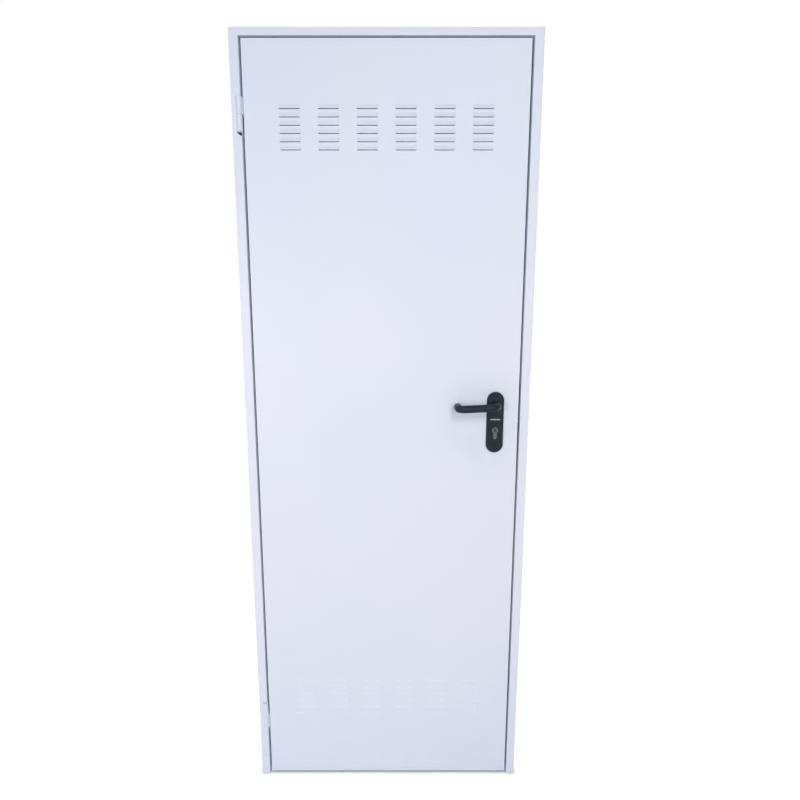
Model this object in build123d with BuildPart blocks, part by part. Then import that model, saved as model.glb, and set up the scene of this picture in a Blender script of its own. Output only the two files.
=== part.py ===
"""Louvred steel door: a flush sheet-steel leaf with two louvre fields, hung in a three-sided steel frame.

Millimetres. +X runs from the hinge jamb to the lock jamb, +Y from the outer face into the wall, +Z up.
The origin is on the hinge jamb's wall face, at floor level, half way through the frame's depth.
"""

import os

from build123d import *

os.makedirs("parts", exist_ok=True)

# Leaf
leaf_width = 700.0
leaf_height = 2016.0
leaf_thickness = 40.0
skin = 1.0
skin_bend = 1.2
end_channel_depth = 25.0
end_channel_wall = 1.2
back_skin_return = 20.0

# Frame: a front tube with a wider stop tube behind it, mitred at the two upper corners
jamb_face = 23.0
head_face = 18.0
frame_depth = 70.0
frame_wall = 1.5
stop_width = 12.0
fold_radius = 1.6

# Clearances between the leaf and the frame
hinge_gap = 5.0
lock_gap = 5.0
head_gap = 5.0
floor_gap = 6.0
stop_gap = 5.0
leaf_recess = 3.0

# Frame fixings: two pairs of screw holes in each jamb, evenly placed about mid height
fixing_radius = 5.25
fixing_outer_spacing = 1450.0
fixing_inner_spacing = 490.0

# Louvres: pressed hoods that open downwards, over slots that run on a little below them
louvre_columns = 6
louvre_rows = 6
louvre_length = 51.5
louvre_column_pitch = 95.0
upper_row_pitch = 19.0
lower_row_pitch = 21.3
upper_field_drop = 157.0
lower_field_rise = 191.5
hood_height = 10.0
hood_projection = 2.6
hood_lip = 1.2
hood_round = 1.0
slot_drop = 1.4
vent_border = 14.0

# Hinges: a knuckle on the leaf, a knuckle on the frame and a pin
upper_hinge_drop = 172.0
lower_hinge_rise = 194.0
knuckle_radius = 7.0
knuckle_length = 40.0
knuckle_seam = 0.6
knuckle_cap = 3.0
pin_radius = 4.0
pin_running_fit = 0.05
pin_end_gap = 0.5
hinge_lead = 3.0
wing_thickness = 3.0
wing_depth = 35.0
wing_bite = 1.5
tab_thickness = 4.0
tab_inset = 1.0
notch_gap = 1.0
notch_slant = 9.0

# Lock, set into the leaf's lock edge
lock_backset = 62.0
lever_height = 1131.0
cylinder_drop = 70.0
case_depth = 85.0
case_height = 165.0
case_thickness = 15.0
case_lever_offset = 55.0
forend_width = 20.0
forend_length = 235.0
forend_thickness = 3.0
latch_width = 12.0
latch_height = 18.0
latch_rise = 14.0
dead_bolt_width = 14.0
dead_bolt_height = 22.0
bolt_length = 30.0
bolt_gap = 0.3
follower_radius = 7.0
pocket_gap = 1.0
strike_margin = 2.0

# Profile cylinder and its key plug
cylinder_radius = 8.5
cylinder_tail = 10.0
cylinder_height = 33.0
cylinder_stand = 2.0
cylinder_gap = 0.3
plug_radius = 6.5
plug_length = 26.0
plug_running_fit = 0.05
plug_end_gap = 0.3
plug_stand = 0.6
keyway_width = 2.4
keyway_height = 8.5
keyway_depth = 22.0

# Handle plates
plate_width = 45.0
plate_height = 165.0
plate_base = 7.0
plate_pad = 2.5
plate_edge_round = 2.5
plate_lever_drop = 33.0
pad_margin = 3.5
pad_foot_drop = 34.0
pad_corner = 4.0
pad_edge_round = 0.8
inlay_length = 26.0
inlay_height = 3.2
inlay_depth = 1.2
inlay_drop = 41.0

# Levers and the spindle that joins them
lever_radius = 10.0
lever_reach = 102.0
lever_projection = 54.0
lever_bend = 16.0
lever_end_gap = 12.0
lever_end_round = 4.0
lever_sag = 5.0
lever_running_gap = 0.4
neck_seat_gap = 0.8
spindle_width = 8.0
spindle_fit = 0.1
spindle_depth = 24.0
skin_hole_gap = 1.5

# Places that follow from the sizes above
front_y = -frame_depth / 2
back_y = frame_depth / 2
leaf_front_y = front_y + leaf_recess
leaf_back_y = leaf_front_y + leaf_thickness
leaf_mid_y = (leaf_front_y + leaf_back_y) / 2
stop_y = leaf_back_y + stop_gap
leaf_x0 = jamb_face + hinge_gap
leaf_x1 = leaf_x0 + leaf_width
leaf_mid_x = (leaf_x0 + leaf_x1) / 2
lock_rebate_x = leaf_x1 + lock_gap
outer_width = lock_rebate_x + jamb_face
leaf_z0 = floor_gap
leaf_z1 = leaf_z0 + leaf_height
head_z = leaf_z1 + head_gap
outer_height = head_z + head_face
frame_mid_z = outer_height / 2

hinge_x = leaf_x0 - wing_thickness - knuckle_radius + wing_bite
hinge_y = front_y - hinge_lead
hinges = {
    "upper": (leaf_z1 - upper_hinge_drop, 1),
    "lower": (leaf_z0 + lower_hinge_rise, -1),
}
notch_foot_gaps = {"upper": (notch_gap, notch_gap + notch_slant), "lower": (0.0, 0.0)}

lock_x = leaf_x1 - lock_backset
cylinder_z = lever_height - cylinder_drop
plate_top = lever_height + plate_lever_drop
plate_mid_z = plate_top - plate_height / 2
case_mid_z = lever_height - case_lever_offset
forend_x0 = leaf_x1 - forend_thickness
dead_bolt_z = cylinder_z
latch_z = lever_height + latch_rise

cylinder_front_y = leaf_front_y - plate_base - cylinder_stand
cylinder_back_y = leaf_back_y + plate_base + cylinder_stand
pad_foot_z = lever_height - pad_foot_drop
inlay_z = lever_height - inlay_drop

core_x0 = leaf_x0 + 2 * skin
core_x1 = leaf_x1 - 2 * skin
core_y0 = leaf_front_y + skin
core_y1 = leaf_back_y - skin

upper_field_z = leaf_z1 - upper_field_drop
lower_field_z = leaf_z0 + lower_field_rise


def front_plane(y):
    """Plane at depth y, seen from the front: its axes are X and Z, and its normal points to the viewer."""
    return Plane(origin=(0, y, 0), x_dir=(1, 0, 0), z_dir=(0, -1, 0))


def side_plane(x):
    """Plane at x with its axes along Y and Z, and its normal to the lock side."""
    return Plane(origin=(x, 0, 0), x_dir=(0, 1, 0), z_dir=(1, 0, 0))


def stretch(start, direction, near, far):
    """Lowest height and length of a stretch that runs from near to far, up or down from start."""
    ends = sorted((start + direction * near, start + direction * far))
    return ends[0], ends[1] - ends[0]


def box_between(x0, x1, y0, y1, mode=Mode.ADD):
    """Rectangle in the active sketch, from x0 to x1 and from y0 to y1."""
    with Locations(((x0 + x1) / 2, (y0 + y1) / 2)):
        Rectangle(x1 - x0, y1 - y0, mode=mode)


def profile_cylinder_outline(gap):
    """Round head and narrow tail of a profile cylinder, with a gap all round, in the active sketch."""
    tail_end = cylinder_z + cylinder_radius - cylinder_height + cylinder_tail / 2
    with Locations((lock_x, cylinder_z)):
        Circle(cylinder_radius + gap)
    box_between(lock_x - cylinder_tail / 2 - gap, lock_x + cylinder_tail / 2 + gap, tail_end, cylinder_z)
    with Locations((lock_x, tail_end)):
        Circle(cylinder_tail / 2 + gap)


def lock_openings():
    """Holes for the spindle and the profile cylinder in a skin, in the active sketch."""
    with Locations((lock_x, lever_height)):
        Circle(follower_radius)
    profile_cylinder_outline(skin_hole_gap)


def forend_opening():
    """Opening for the lock's forend in the leaf's edge, in the active sketch."""
    with Locations((leaf_mid_y, case_mid_z)):
        Rectangle(forend_width + 2 * bolt_gap, forend_length + 2 * bolt_gap)


def bolt_openings(gap):
    """Openings for the latch and the dead bolt, with a gap all round, in the active sketch."""
    with Locations((leaf_mid_y, latch_z)):
        Rectangle(latch_width + 2 * gap, latch_height + 2 * gap)
    with Locations((leaf_mid_y, dead_bolt_z)):
        Rectangle(dead_bolt_width + 2 * gap, dead_bolt_height + 2 * gap)


def louvre_places(bottom_row, row_pitch):
    """Places (x, z) of the louvres of one field, from its bottom row up."""
    first_x = leaf_mid_x - louvre_column_pitch * (louvre_columns - 1) / 2
    return [
        (first_x + column * louvre_column_pitch, bottom_row + row * row_pitch)
        for row in range(louvre_rows)
        for column in range(louvre_columns)
    ]


upper_field_bottom = upper_field_z - upper_row_pitch * (louvre_rows - 1)
lower_field_top = lower_field_z + lower_row_pitch * (louvre_rows - 1)
louvres = louvre_places(upper_field_bottom, upper_row_pitch) + louvre_places(lower_field_z, lower_row_pitch)
vent_half_width = (louvre_column_pitch * (louvre_columns - 1) + louvre_length) / 2 + vent_border
vents = (
    (upper_field_bottom - vent_border, upper_field_z + hood_height + vent_border),
    (lower_field_z - vent_border, lower_field_top + hood_height + vent_border),
)


frame_sides = {"hinge": (0, 1), "lock": (outer_width, -1)}
stop_face = jamb_face + stop_width
head_stop_face = head_face + stop_width


def tube_outline(wall_x, inward, face, y0, y1):
    """Corners of an upright tube's section, from the wall face inwards. inward is 1 or -1 along X."""
    return [(wall_x, y0), (wall_x + inward * face, y0), (wall_x + inward * face, y1), (wall_x, y1)]


def above_mitre(wall_x, inward, across, down):
    """Corners, in X and Z, of all that lies above a mitre that runs across and down from an outer corner."""
    return [
        (wall_x, outer_height),
        (wall_x + inward * 2 * across, outer_height - 2 * down),
        (wall_x + inward * 2 * across, outer_height + down),
        (wall_x, outer_height + down),
    ]


def below_mitre(wall_x, inward, across, down):
    """Corners, in X and Z, of what lies below the same mitre."""
    return [
        (wall_x, outer_height),
        (wall_x, outer_height - 2 * down),
        (wall_x + inward * 2 * across, outer_height - 2 * down),
    ]


fixing_heights = [
    frame_mid_z + side * spacing / 2
    for spacing in (fixing_outer_spacing, fixing_inner_spacing)
    for side in (-1, 1)
]

# Hinge jamb: the front tube, with notches for the knuckles. The upper notch slopes away at its foot, and
# the lower one ends at the frame's knuckle
with BuildPart() as hinge_jamb:
    with BuildSketch(Plane.XY) as hinge_jamb_section:
        with BuildLine():
            Polyline(*tube_outline(*frame_sides["hinge"], jamb_face, front_y, stop_y), close=True)
        make_face()
        fillet(hinge_jamb_section.vertices().group_by(Axis.Y)[0], fold_radius)
        offset(amount=-frame_wall, mode=Mode.SUBTRACT)
    extrude(amount=outer_height)
    with BuildSketch(front_plane(stop_y)):
        with BuildLine():
            Polyline(*above_mitre(*frame_sides["hinge"], jamb_face, head_face), close=True)
        make_face()
    extrude(amount=frame_depth, mode=Mode.SUBTRACT)
    notch_x = hinge_x - knuckle_radius - notch_gap
    notch_depth = hinge_y + knuckle_radius + notch_gap - front_y
    notch_reach = knuckle_seam / 2 + knuckle_length
    for place, (seam, up) in hinges.items():
        foot_gap, foot_gap_at_rebate = notch_foot_gaps[place]
        with BuildSketch(front_plane(front_y)):
            with BuildLine():
                Polyline(
                    (notch_x, seam + up * (notch_reach + notch_gap)),
                    (jamb_face, seam + up * (notch_reach + notch_gap)),
                    (jamb_face, seam - up * (notch_reach + foot_gap_at_rebate)),
                    (notch_x, seam - up * (notch_reach + foot_gap)),
                    close=True,
                )
            make_face()
        extrude(amount=-notch_depth, mode=Mode.SUBTRACT)
    with BuildSketch(side_plane(0)):
        with Locations(*[(leaf_mid_y, height) for height in fixing_heights]):
            Circle(fixing_radius)
    extrude(amount=jamb_face, mode=Mode.SUBTRACT)
hinge_jamb.part.label = "hinge_jamb"
export_step(hinge_jamb.part, "parts/hinge_jamb.step")

# Lock jamb: the same tube on the other side, with punched holes for the latch and the dead bolt
with BuildPart() as lock_jamb:
    with BuildSketch(Plane.XY) as lock_jamb_section:
        with BuildLine():
            Polyline(*tube_outline(*frame_sides["lock"], jamb_face, front_y, stop_y), close=True)
        make_face()
        fillet(lock_jamb_section.vertices().group_by(Axis.Y)[0], fold_radius)
        offset(amount=-frame_wall, mode=Mode.SUBTRACT)
    extrude(amount=outer_height)
    with BuildSketch(front_plane(stop_y)):
        with BuildLine():
            Polyline(*above_mitre(*frame_sides["lock"], jamb_face, head_face), close=True)
        make_face()
    extrude(amount=frame_depth, mode=Mode.SUBTRACT)
    with BuildSketch(side_plane(lock_rebate_x)):
        bolt_openings(strike_margin)
    extrude(amount=frame_wall, mode=Mode.SUBTRACT)
    with BuildSketch(side_plane(lock_rebate_x)):
        with Locations(*[(leaf_mid_y, height) for height in fixing_heights]):
            Circle(fixing_radius)
    extrude(amount=jamb_face, mode=Mode.SUBTRACT)
lock_jamb.part.label = "lock_jamb"
export_step(lock_jamb.part, "parts/lock_jamb.step")

# Stop tubes of the jambs: they stand behind the front tubes and reach further in, where the leaf closes
for side, (wall_x, inward) in frame_sides.items():
    with BuildPart() as jamb_stop:
        with BuildSketch(Plane.XY) as stop_section:
            with BuildLine():
                Polyline(*tube_outline(wall_x, inward, stop_face, stop_y, back_y), close=True)
            make_face()
            fillet(stop_section.vertices().sort_by_distance((wall_x, stop_y, 0))[1:], fold_radius)
            offset(amount=-frame_wall, mode=Mode.SUBTRACT)
        extrude(amount=outer_height)
        with BuildSketch(front_plane(back_y)):
            with BuildLine():
                Polyline(*above_mitre(wall_x, inward, stop_face, head_stop_face), close=True)
            make_face()
        extrude(amount=frame_depth, mode=Mode.SUBTRACT)
    jamb_stop.part.label = f"{side}_stop"
    export_step(jamb_stop.part, f"parts/{side}_stop.step")

# Head and its stop: the same two tubes laid across the top, cut to the mitres
with BuildPart() as frame_head:
    with BuildSketch(side_plane(0)) as head_section:
        box_between(front_y, stop_y, head_z, outer_height)
        fillet(head_section.vertices().group_by(Axis.X)[0], fold_radius)
        offset(amount=-frame_wall, mode=Mode.SUBTRACT)
    extrude(amount=outer_width)
    with BuildSketch(front_plane(stop_y)):
        for wall_x, inward in frame_sides.values():
            with BuildLine():
                Polyline(*below_mitre(wall_x, inward, jamb_face, head_face), close=True)
            make_face()
    extrude(amount=frame_depth, mode=Mode.SUBTRACT)
frame_head.part.label = "frame_head"
export_step(frame_head.part, "parts/frame_head.step")

with BuildPart() as head_stop:
    with BuildSketch(side_plane(0)) as head_stop_section:
        box_between(stop_y, back_y, outer_height - head_stop_face, outer_height)
        fillet(head_stop_section.vertices().sort_by_distance((stop_y, outer_height, 0))[1:], fold_radius)
        offset(amount=-frame_wall, mode=Mode.SUBTRACT)
    extrude(amount=outer_width)
    with BuildSketch(front_plane(back_y)):
        for wall_x, inward in frame_sides.values():
            with BuildLine():
                Polyline(*below_mitre(wall_x, inward, stop_face, head_stop_face), close=True)
            make_face()
    extrude(amount=frame_depth, mode=Mode.SUBTRACT)
head_stop.part.label = "head_stop"
export_step(head_stop.part, "parts/head_stop.step")

# Hinges: the leaf's knuckle stands above the frame's at the top hinge and below it at the bottom hinge
for place, (seam, up) in hinges.items():
    half_seam = knuckle_seam / 2
    leaf_low, leaf_length = stretch(seam, up, half_seam, half_seam + knuckle_length)
    frame_low, frame_length = stretch(seam, up, -half_seam - knuckle_length, -half_seam)
    bore_low, bore_length = stretch(seam, up, half_seam, half_seam + knuckle_length - knuckle_cap)
    pin_low, pin_length = stretch(
        seam, up, -half_seam - knuckle_length, half_seam + knuckle_length - knuckle_cap - pin_end_gap
    )

    with BuildPart() as leaf_half:
        with BuildSketch(Plane.XY.offset(leaf_low)):
            with Locations((hinge_x, hinge_y)):
                Circle(knuckle_radius)
            box_between(leaf_x0 - wing_thickness, leaf_x0, hinge_y, leaf_front_y + wing_depth)
        extrude(amount=leaf_length)
        with BuildSketch(Plane.XY.offset(bore_low)):
            with Locations((hinge_x, hinge_y)):
                Circle(pin_radius + pin_running_fit)
        extrude(amount=bore_length, mode=Mode.SUBTRACT)
    leaf_half.part.label = f"{place}_hinge_leaf_half"
    export_step(leaf_half.part, f"parts/{place}_hinge_leaf_half.step")

    with BuildPart() as frame_half:
        with BuildSketch(Plane.XY.offset(frame_low)):
            with Locations((hinge_x, hinge_y)):
                Circle(knuckle_radius)
            box_between(
                frame_wall + tab_inset, hinge_x, front_y + frame_wall, front_y + frame_wall + tab_thickness
            )
            with Locations((hinge_x, hinge_y)):
                Circle(pin_radius, mode=Mode.SUBTRACT)
        extrude(amount=frame_length)
    frame_half.part.label = f"{place}_hinge_frame_half"
    export_step(frame_half.part, f"parts/{place}_hinge_frame_half.step")

    with BuildPart() as hinge_pin:
        with BuildSketch(Plane.XY.offset(pin_low)):
            with Locations((hinge_x, hinge_y)):
                Circle(pin_radius)
        extrude(amount=pin_length)
    hinge_pin.part.label = f"{place}_hinge_pin"
    export_step(hinge_pin.part, f"parts/{place}_hinge_pin.step")

# One louvre hood and the hollow behind it, with the hood's lip on the sheet's outer face at the origin
with BuildPart() as hood:
    with BuildSketch(side_plane(-louvre_length / 2)):
        with BuildLine():
            Polyline(
                (0, 0),
                (-hood_projection, 0),
                (-hood_projection, hood_lip),
                (0, hood_height),
                close=True,
            )
        make_face()
    extrude(amount=louvre_length)
    hood_ends = hood.edges().filter_by(Axis.X, reverse=True).filter_by(Axis.Y, reverse=True)
    fillet([edge for edge in hood_ends if edge.center().Y < -hood_round / 2], hood_round)

with BuildPart() as hood_hollow:
    with BuildSketch(side_plane(-louvre_length / 2 + skin)):
        with BuildLine():
            Polyline(
                (skin, -slot_drop),
                (0, -slot_drop),
                (0, 0),
                (skin - hood_projection, 0),
                (skin - hood_projection, hood_lip - skin / 2),
                (0, hood_height - 3 * skin),
                (skin, hood_height - 3 * skin),
                close=True,
            )
        make_face()
    extrude(amount=louvre_length - 2 * skin)

# Front skin: a tray whose folded edges form the leaf's two long edges
with BuildPart() as front_skin:
    with BuildSketch(Plane.XY.offset(leaf_z0)) as front_tray:
        box_between(leaf_x0, leaf_x1, leaf_front_y, leaf_back_y)
        fillet(front_tray.vertices().group_by(Axis.Y)[0], skin_bend)
    extrude(amount=leaf_height)
    with BuildSketch(Plane.XY.offset(leaf_z0)) as front_tray_inside:
        box_between(leaf_x0 + skin, leaf_x1 - skin, leaf_front_y + skin, leaf_back_y)
        fillet(front_tray_inside.vertices().group_by(Axis.Y)[0], skin_bend - skin)
    extrude(amount=leaf_height, mode=Mode.SUBTRACT)
    with Locations(*[(x, leaf_front_y, z) for x, z in louvres]):
        add(hood.part)
        add(hood_hollow.part, mode=Mode.SUBTRACT)
    with BuildSketch(front_plane(leaf_front_y)):
        lock_openings()
    extrude(amount=-skin, mode=Mode.SUBTRACT)
    with BuildSketch(side_plane(leaf_x1)):
        forend_opening()
    extrude(amount=-skin, mode=Mode.SUBTRACT)
front_skin.part.label = "front_skin"
export_step(front_skin.part, "parts/front_skin.step")

# Back skin: a shallower tray pressed in between the front skin's edges, with the same louvres
with BuildPart() as back_skin:
    with BuildSketch(Plane.XY.offset(leaf_z0)):
        box_between(leaf_x0 + skin, leaf_x1 - skin, leaf_back_y - back_skin_return, leaf_back_y)
        box_between(
            leaf_x0 + 2 * skin,
            leaf_x1 - 2 * skin,
            leaf_back_y - back_skin_return,
            leaf_back_y - skin,
            Mode.SUBTRACT,
        )
    extrude(amount=leaf_height)
    with Locations(*[Location((x, leaf_back_y, z), (0, 0, 180)) for x, z in louvres]):
        add(hood.part)
        add(hood_hollow.part, mode=Mode.SUBTRACT)
    with BuildSketch(front_plane(leaf_back_y)):
        lock_openings()
    extrude(amount=skin, mode=Mode.SUBTRACT)
    with BuildSketch(side_plane(leaf_x1 - skin)):
        forend_opening()
    extrude(amount=-skin, mode=Mode.SUBTRACT)
back_skin.part.label = "back_skin"
export_step(back_skin.part, "parts/back_skin.step")

# End channels: folded strips that close the leaf's top and bottom edges between the skins
for place, web_z, inward in (("top", leaf_z1, -1), ("bottom", leaf_z0, 1)):
    with BuildPart() as end_channel:
        with BuildSketch(side_plane(core_x0)):
            box_between(core_y0, core_y1, *sorted((web_z, web_z + inward * end_channel_depth)))
            box_between(
                core_y0 + end_channel_wall,
                core_y1 - end_channel_wall,
                *sorted((web_z + inward * end_channel_wall, web_z + inward * end_channel_depth)),
                Mode.SUBTRACT,
            )
        extrude(amount=core_x1 - core_x0)
    end_channel.part.label = f"leaf_{place}_channel"
    export_step(end_channel.part, f"parts/leaf_{place}_channel.step")

# Core: the leaf's filling, open behind both louvre fields and round the lock
with BuildPart() as leaf_core:
    with BuildSketch(front_plane(core_y0)):
        box_between(core_x0, core_x1, leaf_z0 + end_channel_depth, leaf_z1 - end_channel_depth)
        for vent_low, vent_high in vents:
            box_between(
                leaf_mid_x - vent_half_width, leaf_mid_x + vent_half_width, vent_low, vent_high, Mode.SUBTRACT
            )
        box_between(
            forend_x0 - case_depth - pocket_gap,
            core_x1,
            case_mid_z - forend_length / 2 - pocket_gap,
            case_mid_z + forend_length / 2 + pocket_gap,
            Mode.SUBTRACT,
        )
    extrude(amount=core_y0 - core_y1)
leaf_core.part.label = "leaf_core"
export_step(leaf_core.part, "parts/leaf_core.step")

# Lock case, with sockets for its bolts, the follower's hole and the profile cylinder's opening
with BuildPart() as lock_case:
    with BuildSketch(front_plane(leaf_mid_y)):
        box_between(
            forend_x0 - case_depth, forend_x0, case_mid_z - case_height / 2, case_mid_z + case_height / 2
        )
        with Locations((lock_x, lever_height)):
            Circle(follower_radius, mode=Mode.SUBTRACT)
    extrude(amount=case_thickness / 2, both=True)
    with BuildSketch(front_plane(leaf_mid_y)):
        profile_cylinder_outline(cylinder_gap)
    extrude(amount=case_thickness / 2, both=True, mode=Mode.SUBTRACT)
    with BuildSketch(side_plane(forend_x0)):
        bolt_openings(bolt_gap)
    extrude(amount=forend_thickness - bolt_length, mode=Mode.SUBTRACT)
lock_case.part.label = "lock_case"
export_step(lock_case.part, "parts/lock_case.step")

# Forend: the lock's face plate in the leaf's edge
with BuildPart() as lock_forend:
    with BuildSketch(side_plane(forend_x0)):
        with Locations((leaf_mid_y, case_mid_z)):
            Rectangle(forend_width, forend_length)
        with Locations((leaf_mid_y, latch_z)):
            Rectangle(latch_width + 2 * bolt_gap, latch_height + 2 * bolt_gap, mode=Mode.SUBTRACT)
        with Locations((leaf_mid_y, dead_bolt_z)):
            Rectangle(dead_bolt_width + 2 * bolt_gap, dead_bolt_height + 2 * bolt_gap, mode=Mode.SUBTRACT)
    extrude(amount=forend_thickness)
lock_forend.part.label = "lock_forend"
export_step(lock_forend.part, "parts/lock_forend.step")

# Latch and dead bolt, drawn back flush with the forend
bolts = {
    "latch_bolt": (latch_z, latch_width, latch_height),
    "dead_bolt": (dead_bolt_z, dead_bolt_width, dead_bolt_height),
}
for name, (height, width, tall) in bolts.items():
    with BuildPart() as bolt:
        with BuildSketch(side_plane(leaf_x1)):
            with Locations((leaf_mid_y, height)):
                Rectangle(width, tall)
        extrude(amount=-bolt_length)
    bolt.part.label = name
    export_step(bolt.part, f"parts/{name}.step")

# Profile cylinder through the leaf and both plates, bored for the key plug on its outer side
with BuildPart() as cylinder_body:
    with BuildSketch(front_plane(cylinder_back_y)):
        profile_cylinder_outline(0)
    extrude(amount=cylinder_back_y - cylinder_front_y)
    with BuildSketch(front_plane(cylinder_front_y)):
        with Locations((lock_x, cylinder_z)):
            Circle(plug_radius + plug_running_fit)
    extrude(amount=-plug_length - plug_end_gap, mode=Mode.SUBTRACT)
    with BuildSketch(front_plane(cylinder_back_y)):
        with Locations((lock_x, cylinder_z)):
            Rectangle(keyway_width, keyway_height)
    extrude(amount=keyway_depth, mode=Mode.SUBTRACT)
cylinder_body.part.label = "cylinder_body"
export_step(cylinder_body.part, "parts/cylinder_body.step")

# Key plug: the part of the cylinder that turns with the key
with BuildPart() as key_plug:
    with BuildSketch(front_plane(cylinder_front_y + plug_length)):
        with Locations((lock_x, cylinder_z)):
            Circle(plug_radius)
    extrude(amount=plug_length + plug_stand)
    with BuildSketch(front_plane(cylinder_front_y - plug_stand)):
        with Locations((lock_x, cylinder_z)):
            Rectangle(keyway_width, keyway_height)
    extrude(amount=-keyway_depth, mode=Mode.SUBTRACT)
key_plug.part.label = "key_plug"
export_step(key_plug.part, "parts/key_plug.step")

# Handle plates and levers, the same on both faces. outward is 1 on the outer face and -1 on the inner one
for side, face_y, outward in (("outer", leaf_front_y, 1), ("inner", leaf_back_y, -1)):
    with BuildPart() as handle_plate:
        with BuildSketch(front_plane(face_y)):
            with Locations((lock_x, plate_mid_z)):
                SlotOverall(plate_height, plate_width, rotation=90)
        extrude(amount=outward * plate_base)
        rim = handle_plate.faces().sort_by(Axis.Y)[0 if outward > 0 else -1]
        fillet(rim.edges(), plate_edge_round)
        with BuildSketch(front_plane(face_y - outward * plate_base)) as pad_sketch:
            with Locations((lock_x, plate_mid_z)):
                SlotOverall(plate_height - 2 * pad_margin, plate_width - 2 * pad_margin, rotation=90)
            box_between(
                lock_x - plate_width,
                lock_x + plate_width,
                plate_top - plate_height,
                pad_foot_z,
                Mode.SUBTRACT,
            )
            fillet(pad_sketch.vertices().group_by(Axis.Y)[0], pad_corner)
        extrude(amount=outward * plate_pad)
        pad_face = handle_plate.faces().sort_by(Axis.Y)[0 if outward > 0 else -1]
        fillet(pad_face.edges(), pad_edge_round)
        with BuildSketch(front_plane(face_y)):
            with Locations((lock_x, lever_height)):
                Circle(lever_radius + lever_running_gap)
            profile_cylinder_outline(cylinder_gap)
        extrude(amount=outward * (plate_base + plate_pad), mode=Mode.SUBTRACT)
        with BuildSketch(front_plane(face_y - outward * plate_base)):
            with Locations((lock_x, inlay_z)):
                Rectangle(inlay_length, inlay_height)
        extrude(amount=-outward * inlay_depth, mode=Mode.SUBTRACT)
    handle_plate.part.label = f"{side}_plate"
    export_step(handle_plate.part, f"parts/{side}_plate.step")

    with BuildPart() as inlay_strip:
        with BuildSketch(front_plane(face_y - outward * (plate_base - inlay_depth))):
            with Locations((lock_x, inlay_z)):
                Rectangle(inlay_length, inlay_height)
        extrude(amount=outward * inlay_depth)
    inlay_strip.part.label = f"{side}_plate_strip"
    export_step(inlay_strip.part, f"parts/{side}_plate_strip.step")

    seat_y = face_y - outward * neck_seat_gap
    bar_y = face_y - outward * lever_projection
    end_y = face_y - outward * lever_end_gap
    with BuildPart() as lever:
        with BuildLine() as route:
            FilletPolyline(
                (lock_x, seat_y, lever_height),
                (lock_x, bar_y, lever_height),
                (lock_x - lever_reach, bar_y, lever_height - lever_sag),
                (lock_x - lever_reach, end_y, lever_height - lever_sag),
                radius=lever_bend,
            )
        with BuildSketch(Plane(origin=route.line @ 0, z_dir=route.line % 0)):
            Circle(lever_radius)
        sweep()
        free_end = lever.faces().sort_by_distance(route.line @ 1)[0]
        fillet(free_end.edges(), lever_end_round)
        with BuildSketch(front_plane(seat_y)):
            with Locations((lock_x, lever_height)):
                Rectangle(spindle_width + 2 * spindle_fit, spindle_width + 2 * spindle_fit)
        extrude(amount=outward * spindle_depth, mode=Mode.SUBTRACT)
    lever.part.label = f"{side}_lever"
    export_step(lever.part, f"parts/{side}_lever.step")

# Spindle: the square bar that joins the two levers through the lock
with BuildPart() as spindle:
    with BuildSketch(front_plane(leaf_mid_y)):
        with Locations((lock_x, lever_height)):
            Rectangle(spindle_width, spindle_width)
    extrude(amount=leaf_thickness / 2 + neck_seat_gap + spindle_depth - spindle_fit, both=True)
spindle.part.label = "lever_spindle"
export_step(spindle.part, "parts/lever_spindle.step")
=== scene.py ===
"""Louvred steel door in its frame: finishes, small fasteners, studio light and camera.

The part's own frame, in metres: +X from the hinge jamb to the lock jamb, +Y from the outer face into the
wall, +Z up.
"""

import logging
import math
from collections.abc import Callable
from dataclasses import dataclass, field
from enum import Enum

import bpy
from mathutils import Matrix, Vector


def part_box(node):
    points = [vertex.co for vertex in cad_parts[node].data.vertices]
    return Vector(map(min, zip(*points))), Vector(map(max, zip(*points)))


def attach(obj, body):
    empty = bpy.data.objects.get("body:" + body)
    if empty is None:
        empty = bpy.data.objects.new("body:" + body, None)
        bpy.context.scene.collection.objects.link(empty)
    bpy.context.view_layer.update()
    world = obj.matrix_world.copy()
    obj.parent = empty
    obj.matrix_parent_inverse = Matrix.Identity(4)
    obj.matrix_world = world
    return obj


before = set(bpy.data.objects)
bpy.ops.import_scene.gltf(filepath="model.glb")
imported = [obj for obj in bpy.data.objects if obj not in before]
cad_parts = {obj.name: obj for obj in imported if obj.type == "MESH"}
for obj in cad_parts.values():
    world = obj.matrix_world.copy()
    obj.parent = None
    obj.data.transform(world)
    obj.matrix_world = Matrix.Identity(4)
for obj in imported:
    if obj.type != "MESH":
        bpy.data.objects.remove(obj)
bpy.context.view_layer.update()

log = logging.getLogger("louvred_door")

Tree = bpy.types.NodeTree
Socket = bpy.types.NodeSocket
Material = bpy.types.Material
Piece = bpy.types.Object
Settings = dict[str, object]
Inputs = dict[str | int, object]
Triple = tuple[float, float, float]
Span = tuple[float, float]

MM = 0.001
IMAGE_SIDE_PX = 800
SENSOR_MM = 36.0
# An emitting surface or a world of this strength is white in the picture
WHITE_STRENGTH = 1.0
# A face whose normal has at least this cosine to an axis lies square to it
SQUARE_COS = 0.9

# Setting of a Mix node that mixes colours, and its sockets then
COLOURS: Settings = {"data_type": "RGBA"}
MIX_FACTOR = 0
MIX_A = 6
MIX_B = 7
MIX_RESULT = 2
# Setting of a Map Range node that eases in and out
EASED: Settings = {"interpolation_type": "SMOOTHSTEP"}


class Body(Enum):
    """Bodies of the door that carry small steel pieces."""

    FRAME = "frame"
    LEAF = "leaf"
    LEVERS = "levers"


class Recess(Enum):
    """Driver recesses of the screws."""

    CROSS = "cross"
    HEX = "hex"


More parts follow.
